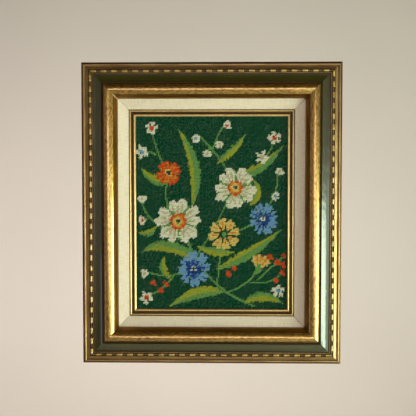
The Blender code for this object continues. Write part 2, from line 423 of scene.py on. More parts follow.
def plain_stage(name, code):
    """Matt emulsion on the studio floor or backdrop: pale and even."""
    material, tree, shader = new_material(name, Roughness=0.9)
    drift = add_node(tree, "ValToRGB", {"Fac": piece_noise(tree, 1.5, 2.0, 0.5)},
                     stops=[(0.3, grey(0.96)), (0.7, grey(1.0))])
    tree.links.new(darkened(tree, srgb(code), drift), shader.inputs["Base Color"])
    return material


def arc(start, end, swell, steps):
    """Points of a circular arc, both ends included. swell lifts its middle off the chord."""
    along_u = end[0] - start[0]
    along_v = end[1] - start[1]
    chord = math.hypot(along_u, along_v)
    half_angle = 2 * math.atan(2 * swell / chord)
    radius = chord / (2 * math.sin(half_angle))
    points = []
    for step in range(steps + 1):
        angle = half_angle * (2 * step / steps - 1)
        along = 0.5 + radius * math.sin(angle) / chord
        lift = radius * (math.cos(angle) - math.cos(half_angle)) / chord
        points.append((start[0] + along * along_u - lift * along_v,
                       start[1] + along * along_v + lift * along_u))
    return points


def line(start, end, steps=1):
    """Points of a straight run, both ends included."""
    return [(start[0] + (end[0] - start[0]) * step / steps,
             start[1] + (end[1] - start[1]) * step / steps) for step in range(steps + 1)]


def trace(bands):
    """Join bands of an outline. Each band is its finish, its glaze and shade at each end, and
    its points.

    Gives the points, the finish of the face that leads to each point, and each point's glaze and
    shade level. That level, from 0 to 1, is how thick the dark glaze lies on gold leaf there, and
    it also paints shade, as on the torus's outer flank. It fades out towards the band's middle.
    """
    points, finishes, glaze_and_shade_levels = [], [], []
    for finish, start_glaze_and_shade, end_glaze_and_shade, band in bands:
        for index, point in enumerate(band):
            share = 2 * index / max(1, len(band) - 1) - 1
            points.append(point)
            finishes.append(finish)
            glaze_and_shade_levels.append((start_glaze_and_shade if share < 0 else end_glaze_and_shade) * abs(share) ** 3)
    return np.array(points), np.array(finishes), np.array(glaze_and_shade_levels)


def unevenness(seed, along, across, wavelength):
    """Smooth unevenness, mostly between -1 and 1: crossed waves with seeded directions."""
    chance = np.random.default_rng(seed)
    total = np.zeros(np.broadcast(along, across).shape)
    for _ in range(8):
        angle, phase = chance.uniform(0, 2 * math.pi, 2)
        number = 2 * math.pi * chance.uniform(0.6, 1.7) / wavelength
        total += np.sin(number * (along * math.cos(angle) + across * math.sin(angle)) + phase)
    return total / 4


# A rail's second station, and its last but one, lie this share of its length from the mitre,
# which is about 1.3 mm where the gilding is chipped
MITRE_SHARE = 0.0045

# One row for each side: direction along the rail, direction inward across it
SIDES = {
    "top": ((1, 0), (0, -1)),
    "bottom": ((-1, 0), (0, 1)),
    "left": ((0, 1), (1, 0)),
    "right": ((0, -1), (-1, 0)),
}


def place_on_side(side, inset, rise, run):
    """Points in space for insets, rises and distances along one side's rail."""
    (along_x, along_z), (inward_x, inward_z) = SIDES[side]
    x = MIDDLE_X + inward_x * (inset - FRAME_WIDTH / 2) + along_x * run
    z = MIDDLE_Z + inward_z * (inset - FRAME_HEIGHT / 2) + along_z * run
    return np.stack(np.broadcast_arrays(x, -rise, z), -1)


def half_length(side):
    return FRAME_WIDTH / 2 if SIDES[side][0][0] else FRAME_HEIGHT / 2


def link_piece(name, mesh):
    """Put a mesh in the scene as a piece of its own."""
    piece = bpy.data.objects.new(name, mesh)
    bpy.context.scene.collection.objects.link(piece)
    return piece


def store_run(mesh, run):
    """Keep each point's place along and across its rail or cloth, for the materials."""
    corner_points = np.empty(len(mesh.loops), np.int32)
    mesh.loops.foreach_get("vertex_index", corner_points)
    layer = mesh.uv_layers.new(name="run")
    layer.data.foreach_set("uv", run[corner_points].astype(np.float32).ravel())


def store_values(mesh, name, values):
    """Keep a number for each point, for the materials."""
    stored = mesh.attributes.new(name, "FLOAT", "POINT")
    stored.data.foreach_set("value", values.astype(np.float32).ravel())


def loft(name, rings, finishes, materials, uv, glaze_and_shade_levels, sharp=32):
    """A closed mesh through equal closed rings of points, with a cap at each end.

    Edges that turn by more than sharp, in degrees, stay crisp.
    """
    count, size = rings.shape[:2]
    index = np.arange(count * size).reshape(count, size)
    following = np.roll(index, -1, axis=1)
    quads = np.stack([index[:-1], following[:-1], following[1:], index[1:]], -1).reshape(-1, 4)
    caps = [index[0][::-1].tolist(), index[-1].tolist()]
    centre = rings.reshape(-1, 3).mean(0)
    corners = rings.reshape(-1, 3)[quads] - centre
    volume = np.einsum("ij,ij->i", corners[:, 0], np.cross(corners[:, 1], corners[:, 2])).sum()
    # Turned outward, where the rings run the other way round
    if volume < 0:
        quads = quads[:, ::-1]
        caps = [cap[::-1] for cap in caps]
    mesh = bpy.data.meshes.new(name)
    mesh.from_pydata(rings.reshape(-1, 3).tolist(), [], quads.tolist() + caps)
    for material in materials:
        mesh.materials.append(material)
    slots = np.concatenate([np.tile(np.roll(finishes, -1), count - 1), [finishes[0], finishes[0]]])
    mesh.polygons.foreach_set("material_index", slots.astype(np.int32))
    store_run(mesh, uv.reshape(-1, 2))
    store_values(mesh, "glaze_and_shade", np.broadcast_to(glaze_and_shade_levels, (count, size)))
    mesh.shade_smooth()
    mesh.set_sharp_from_angle(angle=math.radians(sharp))
    return link_piece(name, mesh)


def rail(name, bands, side, materials, stations, cut_start, cut_end, relief, seed):
    """A mitred rail of a banded section. relief is how far its shown faces wander in and out.

    The cuts are how much shorter than a full mitre each end is, for every inset.
    """
    points, finishes, glaze_and_shade_levels = trace(bands)
    inset, rise = points.T
    length = half_length(side)
    start = length - inset - cut_start(inset)
    end = length - inset - cut_end(inset)
    shares = np.linspace(0, 1, stations)
    shares[1], shares[-2] = MITRE_SHARE, 1 - MITRE_SHARE
    run = -start + shares[:, None] * (start + end)
    around = np.concatenate([[0], np.cumsum(np.hypot(*np.diff(points, axis=0).T))])
    wander = (unevenness(seed, run, around, LONG_WANDER)
              + 0.5 * unevenness(seed + 1, run, around, SHORT_WANDER))
    shown = (rise > SHOWN_RISE) & (inset > 0)
    rise = rise + relief * wander * shown
    rings = place_on_side(side, inset, rise, run)
    uv = np.stack(np.broadcast_arrays(run, around), -1)
    return loft(name, rings, finishes, materials, uv, glaze_and_shade_levels)


def chip_mitre(piece, bands, at_end):
    """Lay the gesso bare beside a cracked mitre, on the gilded faces at the moulding's lip."""
    points, finishes, _ = trace(bands)
    polygons = piece.data.polygons
    first = len(polygons) - 2 - len(points) if at_end else 0
    for index in range(len(points) - 1):
        gilded = finishes[index + 1] in (GOLD, AMBER_BRONZE, DARK_GLAZE_AND_SHADE)
        if gilded and points[index][0] >= CHIP_START_INSET:
            polygons[first + index].material_index = GESSO


def moulding_bands():
    """The moulding's outline, from the recess round the back, up the outer side and inward."""
    groove_start, groove_end = BEAD_GROOVE
    fillet_start = groove_end + 0.0004
    torus = (arc(TORUS_START, TORUS_CREST, 0.0023, 28)
             + arc(TORUS_CREST, TORUS_END, 0.0004, 14)[1:])
    return [
        (PINE, 0, 0, line((RECESS_INSET, RECESS_RISE), (RECESS_INSET, 0))),
        (PINE, 0, 0, line((RECESS_INSET, 0), (0, 0), 6)[1:]),
        # Near-black umber on the outer side: a stain that is partly painted shade
        (UMBER_AND_SHADE, 0, 0, line((0, 0), (0, SIDE_RISE), 6)[1:]),
        (BURNISHED_BROWN, 0, 0, arc((0, SIDE_RISE), SHOULDER_END, 0.0006, 6)[1:]),
        (BRONZE, 0, 0, arc(SHOULDER_END, OUTER_RIDGE_END, 0.0014, 12)[1:]),
        (BRONZE, 0, 0, line(OUTER_RIDGE_END, (groove_start, BEAD_BANK_RISE), 8)[1:]),
        # Dark glaze, which is also painted shade, in the bead groove, on the fillet and in the
        # quirks
        (DARK_GLAZE_AND_SHADE, 0, 0,
         line((groove_start, BEAD_BANK_RISE), (groove_start, BEAD_GROOVE_RISE))[1:]),
        (DARK_GLAZE_AND_SHADE, 0, 0,
         line((groove_start, BEAD_GROOVE_RISE), (groove_end, BEAD_GROOVE_RISE), 4)[1:]),
        (DARK_GLAZE_AND_SHADE, 0, 0, line((groove_end, BEAD_GROOVE_RISE), (groove_end, FILLET_RISE))[1:]),
        (BRONZE, 0, 0, line((groove_end, FILLET_RISE), (fillet_start, FILLET_RISE))[1:]),
        (DARK_GLAZE_AND_SHADE, 0, 0, line((fillet_start, FILLET_RISE), (FILLET_END, FILLET_RISE), 2)[1:]),
        (DARK_GLAZE_AND_SHADE, 0, 0, line((FILLET_END, FILLET_RISE), COVE_START)[1:]),
        (OLIVE, 0, 0, arc(COVE_START, COVE_END, -0.0008, 22)[1:]),
        (DARK_GLAZE_AND_SHADE, 0, 0, line(COVE_END, (COVE_END[0], TORUS_START[1]))[1:]),
        (DARK_GLAZE_AND_SHADE, 0, 0, line((COVE_END[0], TORUS_START[1]), TORUS_START)[1:]),
        # Dark glaze on the torus's outer flank, which is painted shade there as well, and little at
        # its inner end
        (GOLD, 0.9, 0.1, torus[1:]),
        (DARK_GLAZE_AND_SHADE, 0, 0, line(TORUS_END, LIP_START)[1:]),
        (AMBER_BRONZE, 0, 0, arc(LIP_START, (MOULDING_WIDTH, LIP_END_RISE), 0.0007, 10)[1:]),
        (AMBER_BRONZE, 0, 0,
         line((MOULDING_WIDTH, LIP_END_RISE), (MOULDING_WIDTH, RABBET_RISE))[1:]),
        (PINE, 0, 0, line((MOULDING_WIDTH, RABBET_RISE), (RABBET_INSET, RABBET_RISE))[1:]),
        (PINE, 0, 0, line((RABBET_INSET, RABBET_RISE), (RABBET_INSET, RECESS_RISE), 3)[1:]),
    ]


def liner_bands():
    """The liner's outline: a pine foot, and linen wrapped over its slope and nose."""
    foot = RABBET_INSET + FIT_GAP
    top = RABBET_RISE - FIT_GAP
    nose_start = (LINER_SIGHT - LINER_NOSE_DEPTH, LINER_NOSE_RISE)
    nose_end = (LINER_SIGHT, LINER_NOSE_RISE - LINER_NOSE_DEPTH)
    return [
        (PINE, 0, 0, line((LINER_FOOT_END, SEAT_RISE), (foot, SEAT_RISE), 3)),
        (LINEN, 0, 0, line((foot, SEAT_RISE), (foot, top), 3)[1:]),
        (LINEN, 0, 0, line((foot, top), (LINER_SLOPE_START, top), 3)[1:]),
        (LINEN, 0, 0, line((LINER_SLOPE_START, top), nose_start, 14)[1:]),
        (LINEN, 0, 0, arc(nose_start, nose_end, 0.0003, 8)[1:]),
        (LINEN, 0, 0, line(nose_end, (LINER_SIGHT, LINER_LIP_RISE))[1:]),
        (PINE, 0, 0, line((LINER_SIGHT, LINER_LIP_RISE), (LINER_FOOT_END, LINER_LIP_RISE), 2)[1:]),
    ]


def slip_bands():
    """The slip's outline: a pine foot, and two gilt ridges with a scoop between them.

    The scoop is painted dark, for glaze and for painted shade.
    """
    foot = LINER_FOOT_END + FIT_GAP
    foot_rise = LINER_LIP_RISE - FIT_GAP
    outer_start, outer_end = SLIP_OUTER_RIDGE
    inner_start, inner_end = SLIP_INNER_RIDGE
    canvas_edge = (FRAME_WIDTH - CANVAS_WIDTH) / 2 - FIT_GAP
    under = SLIP_SIGHT_RISE - SLIP_SIGHT_THICKNESS
    return [
        (PINE, 0, 0, line((canvas_edge, SEAT_RISE), (foot, SEAT_RISE), 2)),
        (PINE, 0, 0, line((foot, SEAT_RISE), (foot, foot_rise))[1:]),
        (DARK_GROOVE_AND_SHADE, 1, 1, line((foot, foot_rise), (outer_start[0], foot_rise), 2)[1:]),
        (DARK_GROOVE_AND_SHADE, 1, 1, line((outer_start[0], foot_rise), outer_start)[1:]),
        (BRIGHT_LEAF, 0.3, 0.3, arc(outer_start, outer_end, 0.0009, 12)[1:]),
        (DARK_GROOVE_AND_SHADE, 1, 1, arc(outer_end, inner_start, -0.0009, 10)[1:]),
        (BRIGHT_LEAF, 0.4, 0.4, arc(inner_start, inner_end, 0.0009, 12)[1:]),
        (BRIGHT_LEAF, 0.4, 0.4, line(inner_end, (SIGHT_INSET, SLIP_SIGHT_RISE))[1:]),
        (BRIGHT_LEAF, 0.4, 0.4,
         line((SIGHT_INSET, SLIP_SIGHT_RISE), (SIGHT_INSET, under))[1:]),
        (PINE, 0, 0, line((SIGHT_INSET, under), (canvas_edge, under))[1:]),
    ]


def even_cut(gap):
    """A mitre that leaves the same gap all along."""
    return lambda inset: np.full(np.shape(inset), gap / math.sqrt(2))


def opened_cut(gap, widening):
    """A mitre of the liner that has shrunk open at its outer end and is even past the middle.

    The foot, hidden under the moulding, opens only a little further.
    """
    def cut(inset):
        reach = (inset - MOULDING_WIDTH) / (LINER_SIGHT - MOULDING_WIDTH)
        opened = np.clip(1 - reach / OPENED_MITRE_SHARE, 0, 1.3)
        return (gap + widening * opened) / math.sqrt(2)
    return cut


def bead_radius(distance, repeat):
    """Half width of the bead row at distances along it."""
    local = np.mod(distance, repeat)
    half = REEL_LENGTH / 2
    from_middle = np.abs(local - BEAD_GAP / 2 - half) / half
    shape = REEL_HALF_WIDTH * np.clip(1 - from_middle ** 16, 0, 1) ** 0.5
    radius = np.maximum(BEAD_NECK_HALF_WIDTH, shape)
    start = BEAD_GAP / 2 + REEL_LENGTH + BEAD_GAP
    for number in range(2):
        centre = start + SMALL_BEAD_LENGTH / 2 + number * (SMALL_BEAD_LENGTH + BEAD_GAP)
        from_centre = np.abs(local - centre) / (SMALL_BEAD_LENGTH / 2)
        shape = SMALL_BEAD_HALF_WIDTH * np.sqrt(np.clip(1 - from_centre ** 2, 0, 1))
        radius = np.maximum(radius, shape)
    return radius


def bead_row(side, material, seed):
    """Pressed composition bead and reel, glued in the moulding's groove."""
    length = half_length(side)
    spread = 2 * (length - BEAD_INSET)
    repeat = spread / round(spread / BEAD_REPEAT)
    stations = int(spread / BEAD_STATION_STEP)
    steps = 10
    angles = np.linspace(math.pi, 0, steps + 1)
    reach = length - BEAD_INSET - 0.0001
    middle_run = np.linspace(-reach, reach, stations)[:, None]
    radius = bead_radius(middle_run + length - BEAD_INSET, repeat)
    worn = 1 + 0.06 * unevenness(seed, middle_run, 0.0, 0.011)
    inset = BEAD_INSET + radius * np.cos(angles) * worn
    height = (BEAD_CREST - BEAD_BASE) * np.minimum(radius / FULL_HEIGHT_HALF_WIDTH, 1)
    rise = BEAD_BASE + height * np.sin(angles) ** 0.6 * worn
    near_mitre = np.clip(1 - (reach - np.abs(middle_run)) / BEAD_MITRE_LENGTH, 0, 1)
    run = middle_run - np.sign(middle_run) * (inset - BEAD_INSET) * near_mitre
    rings = place_on_side(side, inset, rise, run)
    uv = np.stack(np.broadcast_arrays(run, inset), -1)
    # Dark glaze and painted shade on each bead's flanks and in the narrow gaps between beads
    glaze_and_shade_levels = 0.8 * np.abs(np.cos(angles)) ** 6 + 0.5 * (radius < GLAZE_AND_SHADE_HALF_WIDTH)
    finishes = np.zeros(steps + 1, int)
    return loft(f"bead_and_reel_{side}", rings, finishes, [material], uv, glaze_and_shade_levels, 50)


def crown(x, z):
    """How far the held canvas swells forward at a place."""
    return (CANVAS_CROWN * np.cos(math.pi * (x - MIDDLE_X) / CANVAS_WIDTH)
            * np.cos(math.pi * (z - MIDDLE_Z) / CANVAS_HEIGHT))


def canvas_cloth(material):
    """The cotton canvas under the stitches: one even sheet with a low crown."""
    cells_x, cells_z = 40, 50
    x, z = np.meshgrid(
        np.linspace(CANVAS_LOW.x, CANVAS_HIGH.x, cells_x + 1),
        np.linspace(CANVAS_LOW.z, CANVAS_HIGH.z, cells_z + 1), indexing="ij")
    front = np.stack([x, -(SEAT_RISE + CANVAS_CLOTH_THICKNESS + crown(x, z)), z], -1)
    back = np.stack([x, -(SEAT_RISE + crown(x, z)), z], -1)
    points = np.concatenate([front.reshape(-1, 3), back.reshape(-1, 3)])
    index = np.arange((cells_x + 1) * (cells_z + 1)).reshape(cells_x + 1, cells_z + 1)
    cells = np.stack(
        [index[:-1, :-1], index[1:, :-1], index[1:, 1:], index[:-1, 1:]], -1).reshape(-1, 4)
    offset = index.size
    rim = np.concatenate([index[:, 0], index[-1, 1:], index[-2::-1, -1], index[0, -2:0:-1]])
    following = np.roll(rim, -1)
    sides = np.stack([rim, rim + offset, following + offset, following], -1)
    faces = np.concatenate([cells, cells[:, ::-1] + offset, sides])
    mesh = bpy.data.meshes.new("canvas_cloth")
    mesh.from_pydata(points.tolist(), [], faces.tolist())
    store_run(mesh, points[:, [0, 2]])
    mesh.materials.append(material)
    mesh.shade_smooth()
    mesh.set_sharp_from_angle(angle=math.radians(40))
    return link_piece("canvas_cloth", mesh)


# Wool colours of the design, the ground first
YARNS = {
    "bottle_green": "#004E36",
    "ivory": "#F7F1DE",
    "putty": "#CFC7A0",
    "mid_green": "#74A85E",
    "chartreuse": "#AFB43A",
    "light_blue": "#7FAFDC",
    "deep_blue": "#1E4BA6",
    "orange": "#EC962E",
    "flame": "#E8541F",
    "corn_yellow": "#EED07A",
}
YARN_NUMBER = {name: number for number, name in enumerate(YARNS)}

# Stitch counts across from the middle, and up from the lowest row
across, up = np.meshgrid(np.arange(COLUMNS) - (COLUMNS - 1) / 2, np.arange(ROWS))


def steered_line(points, steps=90):
    """Points along the smooth line that the given points steer."""
    share = np.linspace(0, 1, steps)[:, None, None]
    path = np.repeat(np.array(points, float)[None], steps, axis=0)
    while path.shape[1] > 1:
        path = path[:, :-1] * (1 - share) + path[:, 1:] * share
    return path[:, 0]


# Unevenness of each stitch's place at a shape's edge, as hand counting leaves it
EDGE = np.random.default_rng(11).uniform(-0.7, 0.7, across.shape)


def work(chart, mask, yarn):
    """Work the masked stitches in one yarn."""
    chart[mask] = YARN_NUMBER[yarn]


def blade(points, width, fullest):
    """A tapered leaf or petal along a line, width stitches across at its fullest place."""
    mask = np.zeros(across.shape, bool)
    path = steered_line(points)
    share = np.linspace(0, 1, len(path)) ** (math.log(0.5) / math.log(fullest))
    for (x, y), swell in zip(path, np.sin(np.pi * share)):
        mask |= np.hypot(across - x, up - y) < width / 2 * swell + 0.35 + EDGE * swell
    return mask


def stem(points):
    """A thin line of stitches."""
    mask = np.zeros(across.shape, bool)
    for x, y in steered_line(points, 220):
        mask[int(round(y)), int(round(x + (COLUMNS - 1) / 2))] = True
    return mask


def disc(centre, radius, rough=1.0):
    return np.hypot(across - centre[0], up - centre[1]) < radius + EDGE * rough


def ray(centre, angle, start, reach, width, fullest=0.6):
    """One petal of a flower, pointing away from its centre."""
    turn = math.radians(angle)
    ends = [(centre[0] + distance * math.cos(turn), centre[1] + distance * math.sin(turn))
            for distance in (start, reach)]
    return blade(ends, width, fullest)


def leaf(chart, points, width, light, dark):
    """A leaf in two tones: a light body, a darker side and rib."""
    fullest = 0.45
    body = blade(points, width, fullest)
    work(chart, body, light)
    (x0, y0), (x1, y1) = points[0], points[-1]
    length = math.hypot(x1 - x0, y1 - y0)
    shift = 0.3 * width / length
    lower = [(x + (y1 - y0) * shift, y - (x1 - x0) * shift) for x, y in points]
    work(chart, blade(lower, width * 0.5, fullest) & body, dark)
    work(chart, stem(points) & body & (EDGE < 0.35), dark)


def wild_rose(chart, centre, reach, turn):
    """Five notched ivory petals with putty creases, green between them, round an orange heart."""
    for index in range(5):
        work(chart, ray(centre, turn + 72 * index + 36, 1, reach * 0.86, 2.4, 0.7), "mid_green")
    for index in range(5):
        for spread in (-15, 14):
            length = reach * (1 + 0.06 * math.sin(3 * index + spread))
            petal = ray(centre, turn + 72 * index + spread, 2, length, reach * 0.4, 0.68)
            work(chart, petal, "ivory")
    for index in range(5):
        for spread in (-17, 0, 19):
            angle = turn + 72 * index + spread
            work(chart, ray(centre, angle, reach * 0.34, reach * 0.8, 0.9, 0.4), "putty")
        work(chart, ray(centre, turn + 72 * index + 36, 2, reach * 0.62, 1.4), "mid_green")
    work(chart, disc(centre, reach * 0.36), "flame")
    work(chart, disc(centre, reach * 0.28), "orange")
    work(chart, disc(centre, reach * 0.21), "corn_yellow")
    work(chart, disc(centre, reach * 0.09, 0.6), "bottle_green")


def cornflower(chart, centre, reach, turn):
    """Eight forked light blue petals, ragged deep blue inside, round a pale eye."""
    for index in range(8):
        for spread in (-9, 9):
            length = reach * (1 + 0.1 * math.sin(5 * index + spread))
            petal = ray(centre, turn + 45 * index + spread, 1, length, reach * 0.22, 0.72)
            work(chart, petal, "light_blue")
    for index in range(8):
        length = reach * (0.6 + 0.12 * math.cos(4 * index))
        work(chart, ray(centre, turn + 45 * index, 1, length, reach * 0.15), "deep_blue")
    work(chart, disc(centre, reach * 0.27), "deep_blue")
    work(chart, disc(centre, reach * 0.17, 0.5), "ivory")
    work(chart, disc(centre, reach * 0.09, 0.5), "bottle_green")


def coreopsis(chart, centre, reach, turn):
    """Eight toothed yellow petals with orange streaks round a green eye."""
    for index in range(8):
        angle = turn + 45 * index
        for spread in (-8, 8):
            work(chart, ray(centre, angle + spread, 2, reach, reach * 0.26, 0.74), "corn_yellow")
        work(chart, ray(centre, angle, reach * 0.3, reach * 0.8, 0.5), "orange")
    work(chart, disc(centre, reach * 0.3), "bottle_green")
    work(chart, disc(centre, reach * 0.16, 0.5), "mid_green")


def poppy(chart, centre, reach, turn):
    """Four broad flame petals, orange in their folds, with a dark heart."""
    for index in range(4):
        for spread in (-22, 0, 22):
            angle = turn + 90 * index + spread
            work(chart, ray(centre, angle, 0, reach, reach * 0.46, 0.66), "flame")
    for index in range(4):
        for spread in (-24, 6, 30):
            angle = turn + 90 * index + spread
            work(chart, ray(centre, angle, reach * 0.3, reach * 0.84, 0.5), "orange")
    work(chart, disc(centre, reach * 0.3), "corn_yellow")
    work(chart, disc(centre, reach * 0.2, 0.6), "bottle_green")


def bud(chart, foot, angle, size):
    """A half-open yellow flower on a green calyx."""
    for spread in (-30, -10, 12, 32):
        length = size * (1 - abs(spread) * 0.004)
        work(chart, ray(foot, angle + spread, 1, length, size * 0.3, 0.7), "corn_yellow")
    for spread in (-20, 2, 22):
        work(chart, ray(foot, angle + spread, size * 0.35, size * 0.95, 0.9), "orange")
    work(chart, ray(foot, angle, -size * 0.2, size * 0.42, size * 0.32, 0.4), "mid_green")


def bell(chart, foot, angle, heart):
    """A small nodding ivory bell with a spot of colour."""
    for spread in (-24, 0, 24):
        work(chart, ray(foot, angle + spread, 0, 5.6, 2.3, 0.66), "ivory")
    work(chart, ray(foot, angle, 2.4, 4.4, 0.9), heart)
    work(chart, disc(foot, 0.9, 0.5), "mid_green")


def blossom(chart, centre, heart, turn):
    """A small five-petalled flower."""
    for index in range(5):
        work(chart, ray(centre, turn + 72 * index, 1, 4.4, 2.3, 0.62), "ivory")
    work(chart, disc(centre, 1.5, 0.5), heart)


def berry(chart, centre):
    work(chart, disc(centre, 1.7), "flame")
    work(chart, disc((centre[0] + 0.8, centre[1] - 1.2), 1.3), "flame")


def flower_spray():
    """The design, as a grid of yarn numbers: an S-shaped spray of flowers on a dark ground.

    Its stems and leaves follow lines that the points here steer, in stitches across and up.
    """
    chart = np.zeros((ROWS, COLUMNS), int)
    for line_points in (
        [(31, 3), (-8, 18), (-12, 40), (-24, 62)],
        [(30, 3), (-7, 17), (-11, 40), (-23, 62)],
        [(4, 18), (6, 40), (8, 56)],
        [(-12, 38), (8, 66), (16, 92)],
        [(-24, 62), (-38, 80), (-30, 97)],
        [(16, 92), (6, 112), (-8, 124)],
        [(0, 112), (2, 122), (8, 132)],
        [(8, 56), (26, 56), (37, 70)],
        [(-30, 97), (-40, 112), (-43, 131)],
        [(-40, 112), (-47, 116), (-50, 113)],
        [(24, 98), (38, 104), (45, 122)],
        [(37, 70), (48, 84), (47, 97)],
        [(12, 13), (30, 20), (33, 31)],
        [(28, 20), (42, 18), (50, 26)],
        [(33, 22), (46, 34), (51, 38)],
        [(-24, 62), (-44, 58), (-50, 77)],
        [(-12, 30), (-30, 22), (-45, 27)],
        [(-28, 24), (-36, 14), (-46, 10)],
    ):
        work(chart, stem(line_points), "mid_green")
    for line_points, width, light, dark in (
        ([(-6, 34), (-34, 54), (-50, 42)], 7.5, "chartreuse", "mid_green"),
        ([(-14, 76), (-6, 104), (-24, 130)], 7.0, "chartreuse", "mid_green"),
        ([(20, 98), (34, 98), (51, 118)], 6.0, "chartreuse", "mid_green"),
        ([(4, 30), (26, 38), (50, 58)], 7.0, "chartreuse", "mid_green"),
        ([(8, 13), (-10, 16), (-30, 3)], 8.0, "mid_green", "chartreuse"),
        ([(24, 6), (38, 14), (51, 5)], 6.5, "mid_green", "chartreuse"),
        ([(-30, 92), (-44, 92), (-50, 102)], 5.5, "mid_green", "chartreuse"),
        ([(-10, 46), (4, 40), (16, 42)], 5.5, "mid_green", "chartreuse"),
        ([(28, 76), (36, 84), (30, 94)], 5.0, "mid_green", "chartreuse"),
        ([(-30, 22), (-38, 30), (-34, 38)], 4.5, "mid_green", "chartreuse"),
        ([(4, 106), (16, 114), (24, 126)], 4.5, "mid_green", "chartreuse"),
        ([(-40, 60), (-46, 54), (-52, 56)], 4.0, "mid_green", "chartreuse"),
    ):
        leaf(chart, line_points, width, light, dark)
    wild_rose(chart, (-24, 64), 16.0, 20)
    wild_rose(chart, (17, 88), 14.5, 52)
    coreopsis(chart, (9, 55), 11.0, 10)
    cornflower(chart, (-13, 30), 12.0, 5)
    cornflower(chart, (37, 66), 10.5, 20)
    poppy(chart, (-31, 99), 8.5, 30)
    bud(chart, (33, 29), 70, 12)
    for foot, angle, heart in (((-8, 124), 190, "light_blue"), ((8, 132), 20, "flame"),
                               ((-2, 116), 250, "putty"), ((47, 97), 60, "putty"),
                               ((43, 84), 330, "light_blue"), ((-50, 77), 90, "putty"),
                               ((-47, 66), 200, "flame"), ((-45, 27), 190, "putty"),
                               ((4, 122), 300, "putty")):
        bell(chart, foot, angle, heart)
    for place, heart, turn in (((-43, 131), "flame", 10), ((-50, 114), "light_blue", 40),
                               ((45, 124), "flame", 30), ((36, 110), "putty", 0),
                               ((48, 14), "light_blue", 20), ((-47, 9), "flame", 50)):
        blossom(chart, place, heart, turn)
    for place in ((51, 27), (46, 22), (52, 40), (47, 35), (42, 39), (51, 33), (-37, 15), (-42, 20),
                  (-33, 19), (12, 27), (16, 31)):
        berry(chart, place)
    return chart


def stitches(name, chosen, material, seed):
    """One plump slanted wool stitch at each chosen crossing of the canvas, as one joined mesh.

    A stitch is a diamond in section, through four rings, and its ends sink into the canvas.
    """
    chance = np.random.default_rng(seed)
    rows, columns = np.nonzero(chosen)
    count = len(rows)
    x = MIDDLE_X + (columns - (COLUMNS - 1) / 2) * STITCH_PITCH
    z = MIDDLE_Z + (rows - (ROWS - 1) / 2) * STITCH_PITCH
    x = x + chance.normal(0, STITCH_PLACE_SPREAD, count)
    z = z + chance.normal(0, STITCH_PLACE_SPREAD, count)
    angle = math.radians(45) + chance.normal(0, math.radians(3), count)
    plump = 1 + chance.normal(0, 0.06, count)
    along = np.array([-1.0, -0.5, 0.5, 1.0]) * STITCH_HALF_LENGTH
    width = np.array([0.34, 1.0, 1.0, 0.34]) * STITCH_HALF_WIDTH
    height = np.array([0.35, 1.0, 1.0, 0.35]) * STITCH_HALF_HEIGHT
    sink = np.array([1.0, 0.0, 0.0, 1.0]) * STITCH_END_SINK
    corner_side = np.array([-1.0, 0.0, 1.0, 0.0])
    corner_out = np.array([0.0, 1.0, 0.0, -0.7])
    seat = SEAT_RISE + CANVAS_CLOTH_THICKNESS + STITCH_HALF_HEIGHT + crown(x, z)
    side = corner_side[None, None] * width[None, :, None] * plump[:, None, None]
    out = (corner_out[None, None] * height[None, :, None] * plump[:, None, None]
           - sink[None, :, None])
    reach = np.broadcast_to(along[None, :, None], side.shape)
    cos, sin = np.cos(angle)[:, None, None], np.sin(angle)[:, None, None]
    points = np.stack([x[:, None, None] + cos * reach - sin * side,
                       -(seat[:, None, None] + out),
                       z[:, None, None] + sin * reach + cos * side], -1).reshape(-1, 3)
    one_stitch = []
    for ring in range(0, 12, 4):
        for corner in range(4):
            following = (corner + 1) % 4
            one_stitch.append((ring + corner, ring + following,
                               ring + 4 + following, ring + 4 + corner))
    one_stitch += [(3, 2, 1, 0), (12, 13, 14, 15)]
    faces = (np.array(one_stitch)[None] + 16 * np.arange(count)[:, None, None]).reshape(-1, 4)
    mesh = bpy.data.meshes.new(name)
    mesh.from_pydata(points.tolist(), [], faces.tolist())
    mesh.materials.append(material)
    dye = 0.5 + 0.22 * np.sin(columns * 0.21 + rows * 2.4) + chance.normal(0, 0.16, count)
    store_values(mesh, "shade", np.repeat(np.clip(dye, 0, 1), 16))
    mesh.shade_smooth()
    return link_piece(name, mesh)


def dress(piece, slot, *nodes):
    """Ride on the one body, and stand for the solids named. The slot it is given is not used."""
    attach(piece, "root")
    if nodes:
        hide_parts(*nodes)
    return piece


